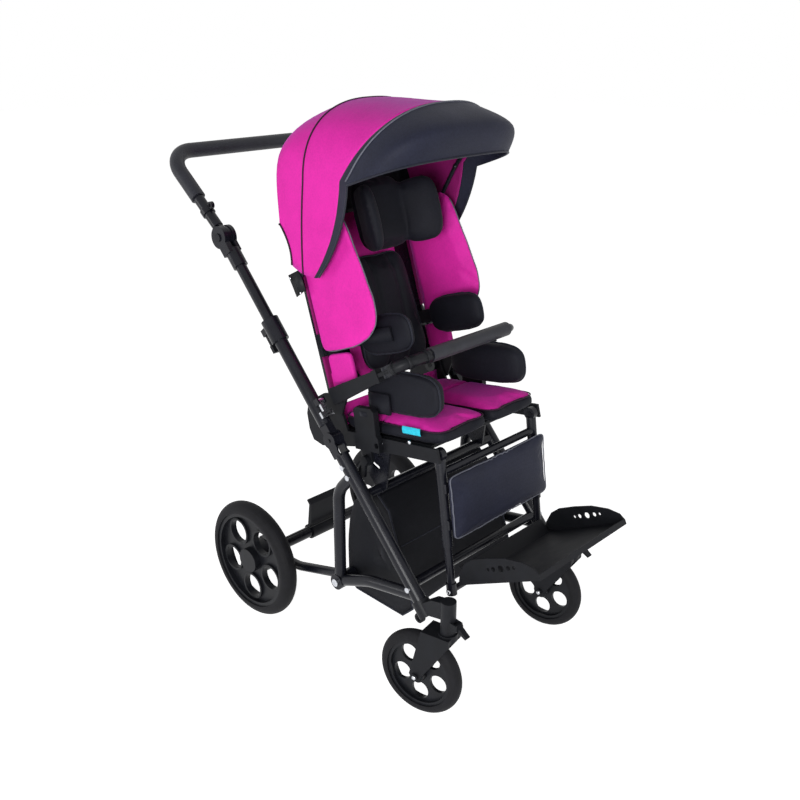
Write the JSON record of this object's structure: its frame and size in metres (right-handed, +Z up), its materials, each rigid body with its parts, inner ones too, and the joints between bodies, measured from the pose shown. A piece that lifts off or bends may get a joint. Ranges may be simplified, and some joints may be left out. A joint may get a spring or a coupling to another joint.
{
  "type": "special needs buggy",
  "caption": "Folding special needs buggy with tilting padded seat, reclining back, head and trunk supports, pink canopy with visor, legrest, footplate, basket and swivel casters",
  "frame": {"origin": "on the floor under the middle of the whole buggy", "axes": "+Z up; the child faces -Y; the child's right side is -X"},
  "size_m": [0.5162, 1.0597, 1.2254],
  "materials": {
    "tyre_rubber": "moulded tread rubber",
    "wheel_plastic": "moulded nylon",
    "black_plastic": "moulded nylon",
    "bright_steel": "bright zinc or chrome plate",
    "grip_foam": "closed-cell foam",
    "cable_jacket": "vinyl jacket",
    "basket_cloth": "woven polyester",
    "pink_cloth": "woven polyester",
    "charcoal_cloth": "woven polyester",
    "black_cloth": "knitted spacer cloth",
    "black_paint": "satin powder coat on aluminium"
  },
  "bodies": {
    "chassis": {"side_tube_right": "black_paint", "side_tube_left": "black_paint", "rear_post_right": "black_paint", "rear_post_left": "black_paint", "caster_bracket_right": "black_plastic", "caster_bracket_left": "black_plastic", "seat_cross_tube": "black_paint", "front_cross_tube": "black_paint", "frame_bolts": "bright_steel", "basket": "basket_cloth"},
    "axle": {"rear_axle": "black_paint", "brake_cable": "cable_jacket"},
    "rear_wheel_right": {"rear_rim_right": "wheel_plastic", "rear_tyre_right": "tyre_rubber"},
    "rear_wheel_left": {"rear_rim_left": "wheel_plastic", "rear_tyre_left": "tyre_rubber"},
    "fork_right": {"caster_fork_right": "black_paint"},
    "fork_left": {"caster_fork_left": "black_paint"},
    "caster_right": {"caster_rim_right": "wheel_plastic", "caster_tyre_right": "tyre_rubber"},
    "caster_left": {"caster_rim_left": "wheel_plastic", "caster_tyre_left": "tyre_rubber"},
    "lock_right": {"caster_lock_right": "black_plastic"},
    "lock_left": {"caster_lock_left": "black_plastic"},
    "pedal": {"brake_pedal": "black_plastic"},
    "pin_right": {"brake_pin_right": "bright_steel"},
    "pin_left": {"brake_pin_left": "bright_steel"},
    "push_frame": {"push_tube_right": "black_paint", "push_tube_left": "black_paint"},
    "lever_right": {"clamp_lever_right": "black_plastic"},
    "lever_left": {"clamp_lever_left": "black_plastic"},
    "latch_right": {"fold_latch_right": "bright_steel"},
    "latch_left": {"fold_latch_left": "bright_steel"},
    "telescope": {"inner_tube_right": "black_paint", "inner_tube_left": "black_paint"},
    "button_right": {"knuckle_button_right": "black_plastic"},
    "button_left": {"knuckle_button_left": "black_plastic"},
    "handle": {"handle_bar": "black_paint", "handle_grip": "grip_foam"},
    "seat": {"seat_frame": "black_paint", "seat_cushions": "pink_cloth"},
    "clamp": {"tilt_clamp": "black_plastic"},
    "hip_right": {"hip_pad_right": "black_cloth"},
    "hip_left": {"hip_pad_left": "black_cloth"},
    "bar": {"safety_bar": "black_paint", "safety_grip": "grip_foam"},
    "back": {"back_frame": "black_paint", "back_cover": "pink_cloth", "back_pad": "black_cloth", "back_wings": "pink_cloth", "canopy_cloth": "pink_cloth"},
    "lateral_right": {"lateral_pad_right": "black_cloth"},
    "lateral_left": {"lateral_pad_left": "black_cloth"},
    "head": {"headrest": "black_cloth"},
    "canopy": {"canopy_hoop": "black_paint", "canopy_visor": "charcoal_cloth"},
    "legrest": {"legrest_frame": "black_paint", "calf_pad": "charcoal_cloth"},
    "foot_slide": {"foot_slide": "black_paint"},
    "foot": {"footplate": "black_paint"}
  },
  "joints": [
    {"name": "fold", "type": "hinge", "parent": "chassis", "child": "push_frame", "pos_m": [0, -0.02466, 0.53882], "axis": [1, 0, 0], "range_deg": [0, 125]},
    {"name": "handle_height", "type": "slide", "parent": "push_frame", "child": "telescope", "axis": [0, 0.6626, 0.749], "range_m": [-0.09, 0.06]},
    {"name": "handle_angle", "type": "hinge", "parent": "telescope", "child": "handle", "pos_m": [0, 0.31526, 0.92304], "axis": [1, 0, 0], "range_deg": [-75, 45]},
    {"name": "tilt", "type": "hinge", "parent": "chassis", "child": "seat", "pos_m": [0, -0.12266, 0.54382], "axis": [-1, 0, 0], "range_deg": [-4, 22]},
    {"name": "recline", "type": "hinge", "parent": "seat", "child": "back", "pos_m": [0, 0.03065, 0.60003], "axis": [-1, 0, 0], "range_deg": [-6, 35]},
    {"name": "canopy_fold", "type": "hinge", "parent": "back", "child": "canopy", "pos_m": [0, 0.11161, 0.84921], "axis": [-1, 0, 0], "range_deg": [0, 55], "deforming": ["canopy_cloth"]},
    {"name": "legrest_raise", "type": "hinge", "parent": "seat", "child": "legrest", "pos_m": [0, -0.26964, 0.56145], "axis": [-1, 0, 0], "range_deg": [0, 60]},
    {"name": "leg_length", "type": "slide", "parent": "legrest", "child": "foot_slide", "axis": [0, -0.1392, -0.9903], "range_m": [-0.045, 0.02]},
    {"name": "footplate_turn", "type": "hinge", "parent": "foot_slide", "child": "foot", "pos_m": [0, -0.31139, 0.26437], "axis": [-1, 0, 0], "range_deg": [-30, 15]},
    {"name": "safety_bar_open", "type": "hinge", "parent": "seat", "child": "bar", "pos_m": [-0.182, -0.15249, 0.71525], "axis": [0, -0.515, -0.8572], "range_deg": [0, 100]},
    {"name": "headrest_height", "type": "slide", "parent": "back", "child": "head", "axis": [0, 0.309, 0.9511], "range_m": [0, 0.05]},
    {"name": "suspension", "type": "hinge", "parent": "chassis", "child": "axle", "pos_m": [0, -0.03766, 0.198], "axis": [1, 0, 0], "range_deg": [0, 4], "stiffness_Nm_per_rad": 300, "springref_deg": -9.17},
    {"name": "rear_wheel_right_roll", "type": "hinge", "parent": "axle", "child": "rear_wheel_right", "pos_m": [-0.234, 0.249, 0.146], "axis": [1, 0, 0], "continuous": true},
    {"name": "rear_wheel_left_roll", "type": "hinge", "parent": "axle", "child": "rear_wheel_left", "pos_m": [0.234, 0.249, 0.146], "axis": [1, 0, 0], "continuous": true},
    {"name": "caster_right_swivel", "type": "hinge", "parent": "chassis", "child": "fork_right", "pos_m": [-0.219, -0.359, 0.217], "axis": [0, 0, 1], "continuous": true},
    {"name": "caster_right_roll", "type": "hinge", "parent": "fork_right", "child": "caster_right", "pos_m": [-0.22977, -0.29794, 0.097], "axis": [0.9848, 0.1736, 0], "continuous": true},
    {"name": "caster_left_swivel", "type": "hinge", "parent": "chassis", "child": "fork_left", "pos_m": [0.219, -0.359, 0.217], "axis": [0, 0, 1], "continuous": true},
    {"name": "caster_left_roll", "type": "hinge", "parent": "fork_left", "child": "caster_left", "pos_m": [0.21252, -0.29734, 0.097], "axis": [0.9945, 0.1045, 0], "continuous": true},
    {"name": "brake", "type": "hinge", "parent": "axle", "child": "pedal", "pos_m": [0, 0.249, 0.146], "axis": [-1, 0, 0], "range_deg": [0, 18]},
    {"name": "brake_pin_right_in", "type": "slide", "parent": "axle", "child": "pin_right", "axis": [-1, 0, 0], "range_m": [0, 0.008]},
    {"name": "brake_pin_left_in", "type": "slide", "parent": "axle", "child": "pin_left", "axis": [1, 0, 0], "range_m": [0, 0.008]},
    {"name": "hip_right_width", "type": "slide", "parent": "seat", "child": "hip_right", "axis": [1, 0, 0], "range_m": [-0.012, 0.01]},
    {"name": "hip_left_width", "type": "slide", "parent": "seat", "child": "hip_left", "axis": [-1, 0, 0], "range_m": [-0.012, 0.01]},
    {"name": "lateral_right_width", "type": "slide", "parent": "back", "child": "lateral_right", "axis": [1, 0, 0], "range_m": [-0.01, 0.01]},
    {"name": "lateral_left_width", "type": "slide", "parent": "back", "child": "lateral_left", "axis": [-1, 0, 0], "range_m": [-0.01, 0.01]},
    {"name": "tilt_clamp_turn", "type": "hinge", "parent": "seat", "child": "clamp", "pos_m": [-0.171, -0.08281, 0.49633], "axis": [1, 0, 0], "range_deg": [0, 90]},
    {"name": "clamp_lever_right_open", "type": "hinge", "parent": "push_frame", "child": "lever_right", "pos_m": [-0.214, 0.18317, 0.73147], "axis": [1, 0, 0], "range_deg": [0, 80]},
    {"name": "clamp_lever_left_open", "type": "hinge", "parent": "push_frame", "child": "lever_left", "pos_m": [0.214, 0.18317, 0.73147], "axis": [1, 0, 0], "range_deg": [0, 80]},
    {"name": "fold_latch_right_open", "type": "hinge", "parent": "push_frame", "child": "latch_right", "pos_m": [-0.214, 0.01452, 0.61631], "axis": [1, 0, 0], "range_deg": [-50, 0]},
    {"name": "fold_latch_left_open", "type": "hinge", "parent": "push_frame", "child": "latch_left", "pos_m": [0.214, 0.01452, 0.61631], "axis": [1, 0, 0], "range_deg": [-50, 0]},
    {"name": "caster_lock_right_lift", "type": "hinge", "parent": "chassis", "child": "lock_right", "pos_m": [-0.219, -0.383, 0.241], "axis": [-1, 0, 0], "range_deg": [0, 30]},
    {"name": "caster_lock_left_lift", "type": "hinge", "parent": "chassis", "child": "lock_left", "pos_m": [0.219, -0.383, 0.241], "axis": [-1, 0, 0], "range_deg": [0, 30]},
    {"name": "knuckle_button_right_press", "type": "slide", "parent": "telescope", "child": "button_right", "axis": [1, 0, 0], "range_m": [0, 0.004], "stiffness_N_per_m": 600},
    {"name": "knuckle_button_left_press", "type": "slide", "parent": "telescope", "child": "button_left", "axis": [-1, 0, 0], "range_m": [0, 0.004], "stiffness_N_per_m": 600}
  ],
  "couplings": [
    {"joint": "brake_pin_right_in", "follows": "brake", "m_per_rad": 0.02545},
    {"joint": "brake_pin_left_in", "follows": "brake", "m_per_rad": 0.02545}
  ]
}
